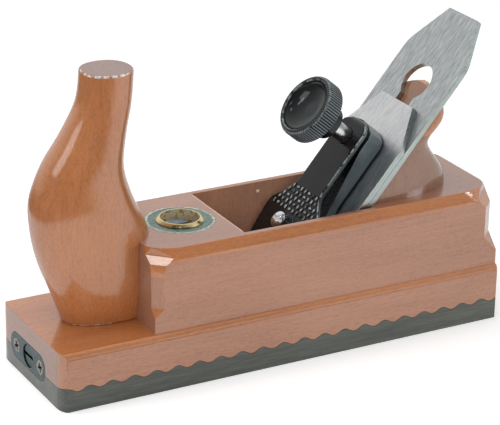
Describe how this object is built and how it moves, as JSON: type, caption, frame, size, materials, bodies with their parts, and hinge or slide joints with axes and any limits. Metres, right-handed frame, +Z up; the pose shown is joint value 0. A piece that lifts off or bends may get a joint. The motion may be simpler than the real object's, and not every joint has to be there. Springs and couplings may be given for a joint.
{
  "type": "smoothing plane",
  "caption": "Wooden smoothing plane with a front horn, a hand guard, a double iron under a screw-down lever cap and an adjustable mouth in a dark wood sole",
  "frame": {"origin": "middle of the sole's flat working face, which the plane stands on", "axes": "+X from the toe to the heel, along the sole; +Z up, square to the sole; +Y to the right of someone pushing the plane towards -X"},
  "size_m": [0.223, 0.065, 0.141],
  "materials": {
    "body_wood": "clear lacquer over close-grained reddish wood",
    "sole_wood": "oiled dense dark green-grey wood, fine lengthwise streaks",
    "handle_wood": "clear lacquer, rounded and polished",
    "dowel_wood": "plain turned dowel, hidden",
    "brass": "turned brass",
    "bright_steel": "bright zinc plating",
    "dark_steel": "darkened steel",
    "zinc_plate": "dull grey-green passivated zinc",
    "tool_steel": "ground lengthwise",
    "black_casting": "black gloss enamel over a casting",
    "knob_black": "black passivated, knurled"
  },
  "bodies": {
    "body": {"stock": "body_wood", "sole": "sole_wood", "horn": "handle_wood", "horn_dowels": "dowel_wood", "hand_guard": "handle_wood", "guard_dowels": "dowel_wood", "clamp_bush": "brass", "deck_plate": "zinc_plate", "toe_plate": "zinc_plate", "toe_plate_screws": "bright_steel", "bed_insert": "brass"},
    "mouth": {"mouth_block": "sole_wood", "clamp_nut": "brass", "clamp_nut_screws": "bright_steel", "adjusting_nut": "brass"},
    "clamp": {"clamp_screw": "dark_steel"},
    "adjuster": {"adjusting_screw": "zinc_plate"},
    "iron": {"plane_iron": "tool_steel"},
    "chip_breaker": {"cap_iron": "tool_steel"},
    "chip_breaker_screw": {"cap_iron_screw": "dark_steel"},
    "lever": {"lever_cap": "black_casting"},
    "thumbscrew": {"thumb_knob": "knob_black", "thumb_stud": "bright_steel"},
    "fulcrum": {"fulcrum_screw": "bright_steel"}
  },
  "joints": [
    {"name": "adjuster_turn", "type": "hinge", "parent": "body", "child": "adjuster", "pos_m": [-0.1085, 0.0038, 0.0121], "axis": [1, 0, 0], "range_deg": [-360, 360]},
    {"name": "mouth_slide", "type": "slide", "parent": "body", "child": "mouth", "axis": [1, 0, 0], "range_m": [-0.001, 0.001]},
    {"name": "clamp_turn", "type": "hinge", "parent": "mouth", "child": "clamp", "pos_m": [-0.0405, 0, 0.05], "axis": [0, 0, 1], "range_deg": [-180, 720]},
    {"name": "iron_slide", "type": "slide", "parent": "body", "child": "iron", "axis": [0.6428, 0, 0.766], "range_m": [-0.0008, 0.012]},
    {"name": "chip_breaker_slide", "type": "slide", "parent": "iron", "child": "chip_breaker", "axis": [0.6428, 0, 0.766], "range_m": [-0.0007, 0.004]},
    {"name": "chip_breaker_screw_turn", "type": "hinge", "parent": "chip_breaker", "child": "chip_breaker_screw", "pos_m": [0.04843, 0, 0.06484], "axis": [-0.766, 0, 0.6428], "range_deg": [-720, 180]},
    {"name": "lever_slide", "type": "slide", "parent": "body", "child": "lever", "axis": [0.6428, 0, 0.766], "range_m": [0, 0.014]},
    {"name": "thumbscrew_turn", "type": "hinge", "parent": "lever", "child": "thumbscrew", "pos_m": [0.02795, 0, 0.10578], "axis": [-0.766, 0, 0.6428], "range_deg": [-180, 1080]},
    {"name": "fulcrum_turn", "type": "hinge", "parent": "body", "child": "fulcrum", "pos_m": [0.01804, 0, 0.0504], "axis": [-0.766, 0, 0.6428], "range_deg": [-180, 720]}
  ],
  "couplings": [
    {"joint": "adjuster_turn", "follows": "mouth_slide", "rad_per_m": -6283}
  ]
}
